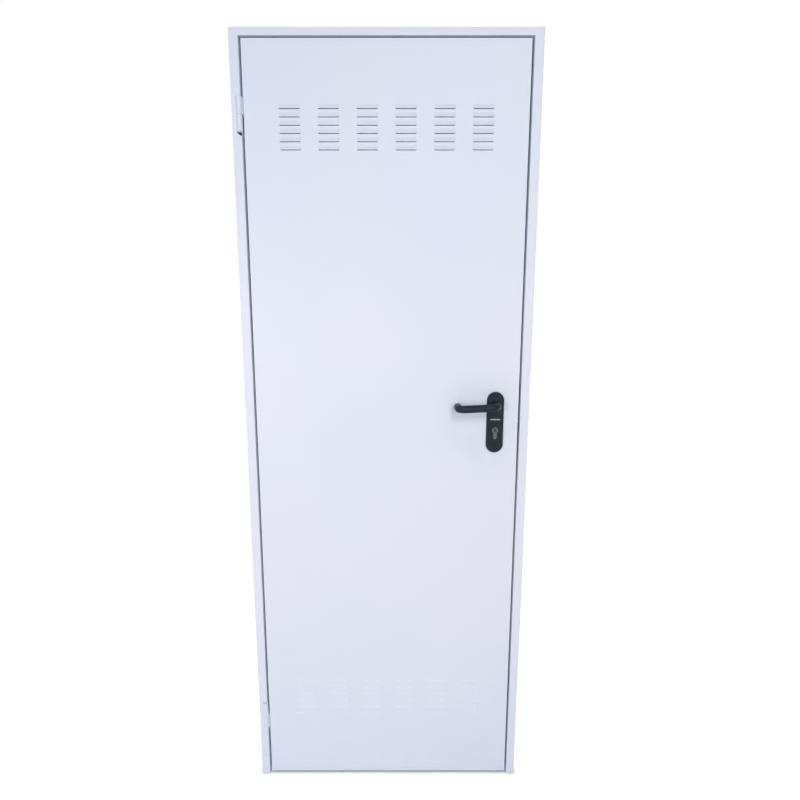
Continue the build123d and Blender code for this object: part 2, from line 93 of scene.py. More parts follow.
def srgb(code: str) -> tuple[float, float, float, float]:
    """Turns an sRGB hex colour into linear light.

    Args:
        code: Colour such as "#E3E7F4".

    Returns:
        Linear red, green and blue, and an alpha of 1.
    """
    channels = [int(code[i : i + 2], 16) / 255 for i in (1, 3, 5)]
    linear = [c / 12.92 if c <= 0.04045 else ((c + 0.055) / 1.055) ** 2.4 for c in channels]
    return (*linear, 1.0)


def add_node(
    tree: Tree, kind: str, settings: Settings | None = None, inputs: Inputs | None = None
) -> bpy.types.Node:
    """Adds a shader node with its settings, and links or sets its inputs.

    Args:
        tree: Node tree that gets the node.
        kind: Blender's name of the node's type.
        settings: Properties of the node.
        inputs: Sockets by name or number, each with an output to link or a value to set.

    Returns:
        The new node.
    """
    node = tree.nodes.new(kind)
    for key, value in (settings or {}).items():
        setattr(node, key, value)
    for key, value in (inputs or {}).items():
        if isinstance(value, Socket):
            tree.links.new(value, node.inputs[key])
        else:
            node.inputs[key].default_value = value
    return node


def new_material(name: str) -> tuple[Material, Tree]:
    """Starts a node material.

    Args:
        name: Name of the real material.

    Returns:
        The material and its empty node tree.
    """
    material = bpy.data.materials.new(name)
    material.use_nodes = True
    material.node_tree.nodes.clear()
    return material, material.node_tree


def shown_to_eye(tree: Tree) -> Socket:
    """Adds a share that is 1 for rays that show a surface to the eye, straight, mirrored or through glass.

    Args:
        tree: Node tree of a floor or a world that looks white and lights less.

    Returns:
        The share, 0 for all other rays.
    """
    rays = add_node(tree, "ShaderNodeLightPath").outputs
    share = rays["Is Camera Ray"]
    for kind in ("Is Glossy Ray", "Is Transmission Ray"):
        share = add_node(
            tree, "ShaderNodeMath", {"operation": "MAXIMUM"}, {0: share, 1: rays[kind]}
        ).outputs[0]
    return share


@dataclass(frozen=True)
class PowderCoat:
    """White polyester powder coat on steel sheet.

    Sprayed and baked: satin, with a fine orange peel, a slight wave of the sheet under it and a tone that
    drifts softly over the surface. Painted shade darkens and cools it towards the door's top and foot. Round
    the levers it is greyed by hand marks and by painted shade, and shoes have scuffed its foot.
    """

    name: str = "white_polyester_powder_coat"
    tone: str = "#E4E6F3"
    shade_and_drift_tone: str = "#DCE3F3"
    hand_mark_and_shade_tone: str = "#CDD6E5"
    scuff_tone: str = "#AEB4C0"
    ior: float = 1.5
    roughness: float = 0.46
    handled_roughness: float = 0.36
    drift_mm: float = 420.0
    drift_span: Span = (0.36, 0.64)
    drift_share: float = 0.55
    # Painted light: the coat is painted lightest about waist height, with painted shade darker and cooler
    # towards the door's top and foot
    painted_light_centre: Triple = (0.38, 0.0, 0.90)
    painted_light_squeeze: Triple = (0.5, 0.0, 1.0)
    painted_light_reach: Span = (0.28, 0.95)
    # Round the levers the coat is greyed, partly for hand marks and partly as painted shade; the gloss there
    # is real handling
    hand_and_shade_place: Triple = (0.640, 0.0, 1.070)
    hand_and_shade_squeeze: Triple = (1.0, 0.0, 0.8)
    hand_and_shade_reach: Span = (0.15, 0.03)
    hand_mark_and_shade_share: float = 0.45
    smear_mm: float = 45.0
    smear_span: Span = (0.3, 0.62)
    smear_least: float = 0.45
    scuff_height: float = 0.16
    scuff_share: float = 0.18
    scuff_mm: Triple = (38.0, 38.0, 5.0)
    scuff_span: Span = (0.55, 0.75)
    # Real orange peel is 1 to 3 mm across: drawn a little coarser, so that it shows
    peel_mm: float = 4.5
    peel_height_mm: float = 0.012
    wave_mm: float = 280.0
    wave_height_mm: float = 0.25

    def make(self) -> Material:
        """Builds the material.

        Returns:
            The material, ready for a mesh.
        """
        material, tree = new_material(self.name)
        place = add_node(tree, "ShaderNodeTexCoord").outputs["Object"]
        toned = self._tone_and_shade(tree, place)
        handled_and_shaded, scuffed = self._wear_and_shade(tree, place)
        # Greying round the levers: hand marks and painted shade
        greyed_and_shaded = add_node(
            tree,
            "ShaderNodeMix",
            COLOURS,
            {MIX_FACTOR: handled_and_shaded, MIX_A: toned, MIX_B: srgb(self.hand_mark_and_shade_tone)},
        )
        colour = add_node(
            tree,
            "ShaderNodeMix",
            COLOURS,
            {MIX_FACTOR: scuffed, MIX_A: greyed_and_shaded.outputs[MIX_RESULT], MIX_B: srgb(self.scuff_tone)},
        )
        sheen = add_node(
            tree,
            "ShaderNodeMapRange",
            inputs={"Value": handled_and_shaded, "To Min": self.roughness, "To Max": self.handled_roughness},
        )
        shader = add_node(
            tree,
            "ShaderNodeBsdfPrincipled",
            inputs={
                "Base Color": colour.outputs[MIX_RESULT],
                "Roughness": sheen.outputs["Result"],
                "IOR": self.ior,
                "Normal": self._relief(tree, place),
            },
        )
        add_node(tree, "ShaderNodeOutputMaterial", inputs={"Surface": shader.outputs["BSDF"]})
        return material

    @staticmethod
    def _away(tree: Tree, place: Socket, centre: Triple, squeeze: Triple) -> Socket:
        """Adds the distance from a place on the door, in ellipses on its face.

        Args:
            tree: Node tree of the coat.
            place: Place on the door.
            centre: Where the distance is nothing.
            squeeze: Share of each axis that counts.

        Returns:
            The distance.
        """
        squeezed = add_node(tree, "ShaderNodeMapping", inputs={"Vector": place, "Scale": squeeze})
        start = tuple(along * share for along, share in zip(centre, squeeze))
        away = add_node(
            tree,
            "ShaderNodeVectorMath",
            {"operation": "DISTANCE"},
            {0: squeezed.outputs["Vector"], 1: start},
        )
        return away.outputs["Value"]

    def _tone_and_shade(self, tree: Tree, place: Socket) -> Socket:
        """Adds the coat's drifting tone, and the painted shade that darkens and cools it towards the top and
        foot.

        Args:
            tree: Node tree of the coat.
            place: Place on the door.

        Returns:
            The colour.
        """
        # Painted shade: the colour turns darker and cooler with distance from waist height, mixed with the
        # random drift
        away = self._away(tree, place, self.painted_light_centre, self.painted_light_squeeze)
        painted_shade = add_node(
            tree,
            "ShaderNodeMapRange",
            EASED,
            {"Value": away, "From Min": self.painted_light_reach[0], "From Max": self.painted_light_reach[1]},
        )
        drift = add_node(
            tree,
            "ShaderNodeTexNoise",
            inputs={"Vector": place, "Scale": 1 / (self.drift_mm * MM), "Detail": 2.0, "Roughness": 0.45},
        )
        clouds = add_node(
            tree,
            "ShaderNodeMapRange",
            inputs={
                "Value": drift.outputs["Fac"],
                "From Min": self.drift_span[0],
                "From Max": self.drift_span[1],
                "To Min": -self.drift_share / 2,
                "To Max": self.drift_share / 2,
            },
        )
        shade_and_drift = add_node(
            tree,
            "ShaderNodeMath",
            {"operation": "ADD", "use_clamp": True},
            {0: painted_shade.outputs["Result"], 1: clouds.outputs["Result"]},
        )
        toned = add_node(
            tree,
            "ShaderNodeMix",
            COLOURS,
            {MIX_FACTOR: shade_and_drift.outputs[0], MIX_A: srgb(self.tone), MIX_B: srgb(self.shade_and_drift_tone)},
        )
        return toned.outputs[MIX_RESULT]

    def _wear_and_shade(self, tree: Tree, place: Socket) -> tuple[Socket, Socket]:
        """Adds the greying round the levers, partly hand marks and partly painted shade, and the scuffs at the
        foot.

        Args:
            tree: Node tree of the coat.
            place: Place on the door.

        Returns:
            The shares of greying (hand marks and painted shade) and of scuffing.
        """
        near = add_node(
            tree,
            "ShaderNodeMapRange",
            EASED,
            {
                "Value": self._away(tree, place, self.hand_and_shade_place, self.hand_and_shade_squeeze),
                "From Min": self.hand_and_shade_reach[0],
                "From Max": self.hand_and_shade_reach[1],
                "To Max": self.hand_mark_and_shade_share,
            },
        )
        smears = add_node(
            tree,
            "ShaderNodeTexNoise",
            inputs={"Vector": place, "Scale": 1 / (self.smear_mm * MM), "Detail": 3.0, "Distortion": 0.6},
        )
        smear_share = add_node(
            tree,
            "ShaderNodeMapRange",
            inputs={
                "Value": smears.outputs["Fac"],
                "From Min": self.smear_span[0],
                "From Max": self.smear_span[1],
                "To Min": self.smear_least,
            },
        )
        handled_and_shaded = add_node(
            tree,
            "ShaderNodeMath",
            {"operation": "MULTIPLY"},
            {0: near.outputs["Result"], 1: smear_share.outputs["Result"]},
        )
        axes = add_node(tree, "ShaderNodeSeparateXYZ", inputs={"Vector": place})
        low = add_node(
            tree,
            "ShaderNodeMapRange",
            EASED,
            {
                "Value": axes.outputs["Z"],
                "From Min": self.scuff_height,
                "From Max": 0.0,
                "To Max": self.scuff_share,
            },
        )
        stretched = add_node(
            tree,
            "ShaderNodeMapping",
            inputs={"Vector": place, "Scale": tuple(1 / (step * MM) for step in self.scuff_mm)},
        )
        strokes = add_node(
            tree,
            "ShaderNodeTexNoise",
            inputs={"Vector": stretched.outputs["Vector"], "Scale": 1.0, "Detail": 3.0, "Roughness": 0.6},
        )
        stroke_share = add_node(
            tree,
            "ShaderNodeMapRange",
            inputs={
                "Value": strokes.outputs["Fac"],
                "From Min": self.scuff_span[0],
                "From Max": self.scuff_span[1],
            },
        )
        scuffed = add_node(
            tree,
            "ShaderNodeMath",
            {"operation": "MULTIPLY"},
            {0: low.outputs["Result"], 1: stroke_share.outputs["Result"]},
        )
        return handled_and_shaded.outputs[0], scuffed.outputs[0]

    def _relief(self, tree: Tree, place: Socket) -> Socket:
        """Adds the wave of the sheet and the orange peel on it.

        Args:
            tree: Node tree of the coat.
            place: Place on the door.

        Returns:
            The normal.
        """
        under: Inputs = {}
        for size, height in ((self.wave_mm, self.wave_height_mm), (self.peel_mm, self.peel_height_mm)):
            swell = add_node(
                tree,
                "ShaderNodeTexNoise",
                inputs={"Vector": place, "Scale": 1 / (size * MM), "Detail": 1.0},
            )
            raised = add_node(
                tree,
                "ShaderNodeBump",
                inputs={"Strength": 1.0, "Distance": height * MM, "Height": swell.outputs["Fac"], **under},
            )
            under = {"Normal": raised.outputs["Normal"]}
        return under["Normal"]


@dataclass(frozen=True)
class MouldedNylon:
    """Black glass-filled nylon, injection moulded in a spark-eroded tool.

    Satin black with a bluish cast, a fine grain, and smoother, paler patches where hands rub it.
    """

    name: str = "black_moulded_nylon"
    tone: str = "#19222D"
    rubbed_tone: str = "#242D38"
    ior: float = 1.53
    roughness: float = 0.46
    rubbed_roughness: float = 0.34
    specular: float = 0.16
    # Real tool grain is about 0.1 mm: drawn coarser, so that it shows
    grain_mm: float = 1.1
    grain_height_mm: float = 0.03
    rub_mm: float = 26.0
    rub_span: Span = (0.42, 0.72)

    def make(self) -> Material:
        """Builds the material.

        Returns:
            The material, ready for a mesh.
        """
        material, tree = new_material(self.name)
        place = add_node(tree, "ShaderNodeTexCoord").outputs["Object"]
        rubbing = add_node(
            tree,
            "ShaderNodeTexNoise",
            inputs={"Vector": place, "Scale": 1 / (self.rub_mm * MM), "Detail": 3.0, "Roughness": 0.55},
        )
        rubbed = add_node(
            tree,
            "ShaderNodeMapRange",
            inputs={
                "Value": rubbing.outputs["Fac"],
                "From Min": self.rub_span[0],
                "From Max": self.rub_span[1],
            },
        )
        colour = add_node(
            tree,
            "ShaderNodeMix",
            COLOURS,
            {MIX_FACTOR: rubbed.outputs["Result"], MIX_A: srgb(self.tone), MIX_B: srgb(self.rubbed_tone)},
        )
        sheen = add_node(
            tree,
            "ShaderNodeMapRange",
            inputs={
                "Value": rubbed.outputs["Result"],
                "To Min": self.roughness,
                "To Max": self.rubbed_roughness,
            },
        )
        grain = add_node(
            tree,
            "ShaderNodeTexNoise",
            inputs={"Vector": place, "Scale": 1 / (self.grain_mm * MM), "Detail": 2.0},
        )
        grained = add_node(
            tree,
            "ShaderNodeBump",
            inputs={
                "Strength": 1.0,
                "Distance": self.grain_height_mm * MM,
                "Height": grain.outputs["Fac"],
            },
        )
        shader = add_node(
            tree,
            "ShaderNodeBsdfPrincipled",
            inputs={
                "Base Color": colour.outputs[MIX_RESULT],
                "Roughness": sheen.outputs["Result"],
                "IOR": self.ior,
                "Specular IOR Level": self.specular,
                "Normal": grained.outputs["Normal"],
            },
        )
        add_node(tree, "ShaderNodeOutputMaterial", inputs={"Surface": shader.outputs["BSDF"]})
        return material


@dataclass(frozen=True)
class PlatedMetal:
    """Bright metal with a thin plating or anodised skin, brushed along one direction.

    Fine lines along the brushing, and a tone and gloss that cloud a little.
    """

    name: str
    tone: str
    cloud_tone: str
    roughness: float
    # Real brushing lines are about 0.1 mm apart: drawn coarser, so that they show
    line_mm: Triple
    line_height_mm: float = 0.01
    cloud_mm: float = 9.0
    cloud_span: Span = (0.4, 0.68)
    cloud_roughness: float = 0.12

    def make(self) -> Material:
        """Builds the material.

        Returns:
            The material, ready for a mesh.
        """
        material, tree = new_material(self.name)
        place = add_node(tree, "ShaderNodeTexCoord").outputs["Object"]
        cloud = add_node(
            tree,
            "ShaderNodeTexNoise",
            inputs={"Vector": place, "Scale": 1 / (self.cloud_mm * MM), "Detail": 3.0, "Roughness": 0.6},
        )
        clouded = add_node(
            tree,
            "ShaderNodeMapRange",
            inputs={
                "Value": cloud.outputs["Fac"],
                "From Min": self.cloud_span[0],
                "From Max": self.cloud_span[1],
            },
        )
        colour = add_node(
            tree,
            "ShaderNodeMix",
            COLOURS,
            {MIX_FACTOR: clouded.outputs["Result"], MIX_A: srgb(self.tone), MIX_B: srgb(self.cloud_tone)},
        )
        sheen = add_node(
            tree,
            "ShaderNodeMapRange",
            inputs={
                "Value": clouded.outputs["Result"],
                "To Min": self.roughness,
                "To Max": self.roughness + self.cloud_roughness,
            },
        )
        stretched = add_node(
            tree,
            "ShaderNodeMapping",
            inputs={"Vector": place, "Scale": tuple(1 / (step * MM) for step in self.line_mm)},
        )
        lines = add_node(
            tree,
            "ShaderNodeTexNoise",
            inputs={"Vector": stretched.outputs["Vector"], "Scale": 1.0, "Detail": 2.0},
        )
        brushed = add_node(
            tree,
            "ShaderNodeBump",
            inputs={
                "Strength": 1.0,
                "Distance": self.line_height_mm * MM,
                "Height": lines.outputs["Fac"],
            },
        )
        shader = add_node(
            tree,
            "ShaderNodeBsdfPrincipled",
            inputs={
                "Base Color": colour.outputs[MIX_RESULT],
                "Metallic": 1.0,
                "Roughness": sheen.outputs["Result"],
                "Normal": brushed.outputs["Normal"],
            },
        )
        add_node(tree, "ShaderNodeOutputMaterial", inputs={"Surface": shader.outputs["BSDF"]})
        return material


@dataclass(frozen=True)
class HoneycombBoard:
    """Kraft paper honeycomb that fills the leaf: matt brown paper walls round hollow cells."""

    name: str = "kraft_paper_honeycomb"
    paper_tone: str = "#A98A63"
    # Painted shade: the hollows of the cells are painted in this darker tone
    shade_tone: str = "#6B5438"
    cell_mm: float = 14.0
    cell_randomness: float = 0.35
    wall_share: float = 0.12
    cell_depth_mm: float = 1.5
    roughness: float = 0.9
    specular: float = 0.2

    def make(self) -> Material:
        """Builds the material.

        Returns:
            The material, ready for a mesh.
        """
        material, tree = new_material(self.name)
        place = add_node(tree, "ShaderNodeTexCoord").outputs["Object"]
        cells = add_node(
            tree,
            "ShaderNodeTexVoronoi",
            {"feature": "DISTANCE_TO_EDGE"},
            {"Vector": place, "Scale": 1 / (self.cell_mm * MM), "Randomness": self.cell_randomness},
        )
        hollow = add_node(
            tree,
            "ShaderNodeMapRange",
            inputs={"Value": cells.outputs["Distance"], "From Max": self.wall_share},
        )
        colour = add_node(
            tree,
            "ShaderNodeMix",
            COLOURS,
            {
                MIX_FACTOR: hollow.outputs["Result"],
                MIX_A: srgb(self.paper_tone),
                MIX_B: srgb(self.shade_tone),
            },
        )
        sunk = add_node(
            tree,
            "ShaderNodeBump",
            {"invert": True},
            {"Strength": 1.0, "Distance": self.cell_depth_mm * MM, "Height": hollow.outputs["Result"]},
        )
        shader = add_node(
            tree,
            "ShaderNodeBsdfPrincipled",
            inputs={
                "Base Color": colour.outputs[MIX_RESULT],
                "Roughness": self.roughness,
                "Specular IOR Level": self.specular,
                "Normal": sunk.outputs["Normal"],
            },
        )
        add_node(tree, "ShaderNodeOutputMaterial", inputs={"Surface": shader.outputs["BSDF"]})
        return material


@dataclass(frozen=True)
class StudioFloor:
    """Matt white studio floor: white to the eye, with a soft shadow near the door and a dark line of painted
    shade under it.
    """

    name: str = "matt_white_studio_floor"
    tone: str = "#E6E6E6"
    seen_tone: str = "#FFFFFF"
    glow: float = 0.44
    contact_mm: float = 13.0
    contact_samples: int = 8
    door_centre: Triple = (0.378, 0.0, 0.0)
    shadow_reach: Span = (0.45, 1.25)

    def make(self) -> Material:
        """Builds the material.

        Returns:
            The material, ready for a mesh.
        """
        material, tree = new_material(self.name)
        matt = add_node(tree, "ShaderNodeBsdfDiffuse", inputs={"Color": srgb(self.tone)})
        # Painted shade: occlusion darkens the floor's colour and its glow in the narrow strip under and beside
        # the door
        painted_contact_shade = add_node(
            tree,
            "ShaderNodeAmbientOcclusion",
            {"samples": self.contact_samples},
            {"Color": srgb(self.seen_tone), "Distance": self.contact_mm * MM},
        )
        shaded = add_node(tree, "ShaderNodeBsdfDiffuse", inputs={"Color": painted_contact_shade.outputs["Color"]})
        lifted = add_node(
            tree,
            "ShaderNodeMath",
            {"operation": "MULTIPLY"},
            {0: painted_contact_shade.outputs["AO"], 1: self.glow},
        )
        glow = add_node(tree, "ShaderNodeEmission", inputs={"Strength": lifted.outputs[0]})
        near = add_node(
            tree, "ShaderNodeAddShader", inputs={0: shaded.outputs["BSDF"], 1: glow.outputs["Emission"]}
        )
        place = add_node(tree, "ShaderNodeTexCoord").outputs["Object"]
        distance = add_node(
            tree, "ShaderNodeVectorMath", {"operation": "DISTANCE"}, {0: place, 1: self.door_centre}
        )
        away = add_node(
            tree,
            "ShaderNodeMapRange",
            EASED,
            {
                "Value": distance.outputs["Value"],
                "From Min": self.shadow_reach[0],
                "From Max": self.shadow_reach[1],
            },
        )
        bright = add_node(tree, "ShaderNodeEmission", inputs={"Strength": WHITE_STRENGTH})
        white = add_node(
            tree,
            "ShaderNodeMixShader",
            inputs={0: away.outputs["Result"], 1: near.outputs["Shader"], 2: bright.outputs["Emission"]},
        )
        shown = add_node(
            tree,
            "ShaderNodeMixShader",
            inputs={0: shown_to_eye(tree), 1: matt.outputs["BSDF"], 2: white.outputs["Shader"]},
        )
        add_node(tree, "ShaderNodeOutputMaterial", inputs={"Surface": shown.outputs["Shader"]})
        return material


ZINC_STEEL = PlatedMetal("zinc_plated_steel", "#A7ABB0", "#8E9296", 0.34, (6.0, 6.0, 0.5))
# Painted shade: the plating tones of the cylinder body and its plug are darkened to stand in for the shade on
# the recessed cylinder, and darker still on the plug
NICKEL = PlatedMetal("nickel_plated_brass", "#5D626B", "#4A4F58", 0.36, (0.5, 5.0, 5.0))
SHADE_DARKENED_PLUG_NICKEL = PlatedMetal("shade_darkened_nickel_key_plug", "#565C64", "#444951", 0.4, (5.0, 5.0, 0.5))
ALUMINIUM = PlatedMetal("satin_anodised_aluminium", "#8A9099", "#7A8089", 0.38, (8.0, 8.0, 0.4))


class Bench:
    """Modelling steps by hand: starting, selecting, copying and finishing meshes."""

    @staticmethod
    def clear() -> None:
        """Leaves nothing selected."""
        bpy.ops.object.select_all(action="DESELECT")

    @staticmethod
    def hold(piece: Piece) -> None:
        """Selects one piece alone and makes it active."""
        Bench.clear()
        piece.select_set(True)
        bpy.context.view_layer.objects.active = piece

    @staticmethod
    def start(name: str, add: Callable[..., object], **sizes: object) -> Piece:
        """Starts a piece from a primitive.

        Args:
            name: Name of the piece.
            add: Operator that adds the primitive.
            **sizes: The operator's own sizes and place.

        Returns:
            The new object, selected and active.
        """
        Bench.clear()
        add(**sizes)
        piece = bpy.context.object
        piece.name = name
        piece.data.name = name
        return piece

    @staticmethod
    def pick_faces(piece: Piece, test: Callable[[bpy.types.MeshPolygon], bool]) -> None:
        """Enters edit mode with only the faces selected that pass a test.

        Args:
            piece: Object to edit, made active.
            test: Tells whether a face is wanted.
        """
        bpy.context.view_layer.objects.active = piece
        bpy.ops.object.mode_set(mode="EDIT")
        bpy.ops.mesh.select_mode(type="FACE")
        bpy.ops.mesh.select_all(action="DESELECT")
        bpy.ops.object.mode_set(mode="OBJECT")
        for face in piece.data.polygons:
            face.select = test(face)
        bpy.ops.object.mode_set(mode="EDIT")

    @staticmethod
    def done() -> None:
        """Leaves edit mode."""
        bpy.ops.object.mode_set(mode="OBJECT")

    @staticmethod
    def cut(piece: Piece, cutter: Piece) -> None:
        """Cuts one piece out of another and throws the cutter away.

        Args:
            piece: Object that is cut.
            cutter: Object that is taken out of it.
        """
        Bench.hold(piece)
        hole = piece.modifiers.new("recess", "BOOLEAN")
        hole.operation = "DIFFERENCE"
        hole.solver = "EXACT"
        hole.object = cutter
        bpy.ops.object.modifier_apply(modifier=hole.name)
        bpy.data.objects.remove(cutter, do_unlink=True)

    @staticmethod
    def smooth(piece: Piece, angle_deg: float) -> None:
        """Shades a piece smooth, apart from edges sharper than an angle."""
        Bench.hold(piece)
        bpy.ops.object.shade_smooth_by_angle(angle=math.radians(angle_deg))

    @staticmethod
    def copy(master: Piece, name: str, place: Matrix) -> Piece:
        """Copies a piece to a place, with a mesh of its own.

        Args:
            master: Piece that was modelled at the origin.
            name: Name of the copy.
            place: Where the copy goes.

        Returns:
            The copy, at the origin with its place in its mesh.
        """
        mesh = master.data.copy()
        mesh.name = name
        mesh.transform(place)
        piece = bpy.data.objects.new(name, mesh)
        bpy.context.scene.collection.objects.link(piece)
        return piece

    @staticmethod
    def scrap(master: Piece) -> None:
        """Throws away a master once its copies are made."""
        bpy.data.objects.remove(master, do_unlink=True)


def aim(point: Vector, outward: Vector) -> Matrix:
    """Place of a piece that was modelled along +Z.

    Args:
        point: Where the piece's origin goes.
        outward: Where the piece's +Z points.

    Returns:
        The matrix of that place.
    """
    return Matrix.Translation(point) @ outward.to_track_quat("Z", "Y").to_matrix().to_4x4()


def cover(piece: Piece, material: Material) -> None:
    """Gives a piece one finish all over."""
    piece.data.materials.clear()
    piece.data.materials.append(material)


def dress(node: str, material: Material) -> None:
    """Gives a CAD node its finish."""
    cover(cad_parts[node], material)
    log.info("piece %s dressed in %s", node, material.name)


def settle(piece: Piece, body: Body, steel: Material) -> None:
    """Gives a new steel piece its finish and the body that it rides on.

    Args:
        piece: New piece, in place.
        body: Body that carries it.
        steel: Its finish.
    """
    cover(piece, steel)
    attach(piece, body.value)
    log.info("piece %s rides on %s", piece.name, body.value)


@dataclass
class Screw:
    """A raised countersunk screw, or a set screw when it has a hex recess. Sizes in millimetres."""

    head_radius: float
    head_depth: float = 2.2
    foot_share: float = 0.55
    crown: float = 0.45
    crown_steps: int = 2
    crown_step_share: float = 0.22
    recess: Recess = Recess.CROSS
    recess_depth: float = 1.3
    recess_share: float = 0.62
    slot_share: float = 0.2
    sides: int = 32
    smooth_deg: float = 40.0

    def build(self, name: str) -> Piece:
        """Models the screw's head along +Z, with the foot of its crown at the origin.

        Args:
            name: Name of the master.

        Returns:
            The master object.
        """
        radius = self.head_radius * MM
        depth = self.head_depth * MM
        head = Bench.start(
            name,
            bpy.ops.mesh.primitive_cylinder_add,
            vertices=self.sides,
            radius=radius,
            depth=depth,
            location=(0, 0, -depth / 2),
        )
        bpy.ops.object.transform_apply(location=True, rotation=True, scale=True)
        Bench.pick_faces(head, lambda face: face.normal.z < -SQUARE_COS)
        bpy.ops.transform.resize(value=(self.foot_share, self.foot_share, 1.0))
        Bench.done()
        for _ in range(self.crown_steps):
            # The top is the one face with more corners than the four of the sloping ones round it
            Bench.pick_faces(head, lambda face: face.normal.z > SQUARE_COS and len(face.vertices) > 4)
            bpy.ops.mesh.inset(thickness=radius * self.crown_step_share)
            bpy.ops.transform.translate(value=(0, 0, self.crown * MM / self.crown_steps))
            Bench.done()
        for cutter in self._cutters(radius):
            Bench.cut(head, cutter)
        Bench.smooth(head, self.smooth_deg)
        return head

    def _cutters(self, radius: float) -> list[Piece]:
        """Models the driver's recess as solids to be cut out one after the other.

        Args:
            radius: Radius of the head, in metres.

        Returns:
            The cutters.
        """
        # The cutters stand as far above the crown as it is high, so that they cut it through
        top = 2 * self.crown * MM
        height = top + self.recess_depth * MM
        centre = (0, 0, top - height / 2)
        if self.recess is Recess.HEX:
            hexagon = Bench.start(
                "recess_cutter",
                bpy.ops.mesh.primitive_cylinder_add,
                vertices=6,
                radius=radius * self.recess_share,
                depth=height,
                location=centre,
            )
            return [hexagon]
        length = 2 * radius * self.recess_share
        width = 2 * radius * self.slot_share
        bars = []
        for turn in (0.0, math.pi / 2):
            bar = Bench.start("recess_cutter", bpy.ops.mesh.primitive_cube_add, size=1.0, location=centre)
            bar.scale = (length, width, height)
            bar.rotation_euler.z = turn
            bpy.ops.object.transform_apply(location=True, rotation=True, scale=True)
            bars.append(bar)
        return bars


@dataclass
class Washer:
    """A thin steel ring between the two knuckles of a hinge. Sizes in millimetres."""

    outer_radius: float = 6.8
    inner_radius: float = 4.2
    thickness: float = 0.5
    sides: int = 48
    smooth_deg: float = 35.0

    def build(self, name: str) -> Piece:
        """Models the ring about +Z, at the origin.

        Args:
            name: Name of the master.

        Returns:
            The master object.
        """
        ring = Bench.start(
            name,
            bpy.ops.mesh.primitive_cylinder_add,
            vertices=self.sides,
            radius=self.outer_radius * MM,
            depth=self.thickness * MM,
        )
        Bench.pick_faces(ring, lambda face: abs(face.normal.z) > SQUARE_COS)
        bpy.ops.mesh.inset(thickness=(self.outer_radius - self.inner_radius) * MM, use_individual=True)
        bpy.ops.mesh.bridge_edge_loops()
        Bench.done()
        Bench.smooth(ring, self.smooth_deg)
        return ring


@dataclass
class DoorFrame:
    """The fixed steel frame: two jambs, the head and their stops."""

    nodes: tuple[str, ...] = (
        "hinge_jamb",
        "lock_jamb",
        "frame_head",
        "hinge_stop",
        "lock_stop",
        "head_stop",
    )

    def dress(self, paint: Material) -> None:
        """Paints the frame."""
        for node in self.nodes:
            dress(node, paint)


@dataclass
class Hinges:
    """The two barrel hinges, painted with the door, with a bare washer in the seam of each."""

    places: tuple[str, ...] = ("upper", "lower")
    parts: tuple[str, ...] = ("leaf_half", "frame_half", "pin")
    washer: Washer = field(default_factory=Washer)

    def dress(self, paint: Material) -> None:
        """Paints the knuckles and the pins."""
        for place in self.places:
            for part in self.parts:
                dress(f"{place}_hinge_{part}", paint)

    def build(self, steel: Material) -> None:
        """Adds the washers in the seams.

        Args:
            steel: Finish of the washers.
        """
        master = self.washer.build("hinge_washer")
        for place in self.places:
            leaf_low, leaf_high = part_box(f"{place}_hinge_leaf_half")
            frame_low, frame_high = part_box(f"{place}_hinge_frame_half")
            pin_low, pin_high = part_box(f"{place}_hinge_pin")
            axis = (pin_low + pin_high) / 2
            seam = (max(leaf_low.z, frame_low.z) + min(leaf_high.z, frame_high.z)) / 2
            ring = Bench.copy(master, f"{place}_hinge_washer", Matrix.Translation((axis.x, axis.y, seam)))
            settle(ring, Body.FRAME, steel)
        Bench.scrap(master)


@dataclass
class Leaf:
    """The leaf: two louvred skins, end channels and the filling behind them."""

    painted: tuple[str, ...] = ("front_skin", "back_skin", "leaf_top_channel", "leaf_bottom_channel")
    filling: str = "leaf_core"

    def dress(self, paint: Material, board: Material) -> None:
        """Paints the sheet steel and gives the filling its paper."""
        for node in self.painted:
            dress(node, paint)
        dress(self.filling, board)


@dataclass
class EdgeLock:
    """The mortice lock in the leaf's edge, with the screws of its forend. Sizes in millimetres."""

    steel_nodes: tuple[str, ...] = ("lock_case", "lock_forend", "latch_bolt", "dead_bolt")
    screw: Screw = field(default_factory=lambda: Screw(head_radius=3.9))
    cylinder_screw: Screw = field(default_factory=lambda: Screw(head_radius=3.0, crown=0.35))
    screw_end_distance: float = 9.0
    cylinder_screw_drop: float = 20.0

    def dress(self, steel: Material) -> None:
        """Leaves the lock's steel bare."""
        for node in self.steel_nodes:
            dress(node, steel)

    def build(self, steel: Material) -> None:
        """Adds the two forend screws and the screw that holds the cylinder.

        Args:
            steel: Finish of the screws.
        """
        low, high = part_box("lock_forend")
        bolt_low, bolt_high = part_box("dead_bolt")
        outward = Vector((1, 0, 0))
        middle_y = (low.y + high.y) / 2
        bolt_z = (bolt_low.z + bolt_high.z) / 2
        heights = {
            "upper": high.z - self.screw_end_distance * MM,
            "lower": low.z + self.screw_end_distance * MM,
        }
        master = self.screw.build("forend_screw")
        for place, height in heights.items():
            point = Vector((high.x, middle_y, height))
            head = Bench.copy(master, f"{place}_forend_screw", aim(point, outward))
            settle(head, Body.LEAF, steel)
        Bench.scrap(master)
        master = self.cylinder_screw.build("cylinder_screw_master")
        point = Vector((high.x, middle_y, bolt_z - self.cylinder_screw_drop * MM))
        head = Bench.copy(master, "cylinder_screw", aim(point, outward))
        settle(head, Body.LEAF, steel)
        Bench.scrap(master)


@dataclass
class KeyCylinder:
    """The profile cylinder with its key plug."""

    body: str = "cylinder_body"
    plug: str = "key_plug"

    def dress(self, nickel: Material, shade_darkened_plug_nickel: Material) -> None:
        """Gives the cylinder its plating, darkened as painted shade, and a still darker copy of it on the
        plug.
        """
        dress(self.body, nickel)
        dress(self.plug, shade_darkened_plug_nickel)


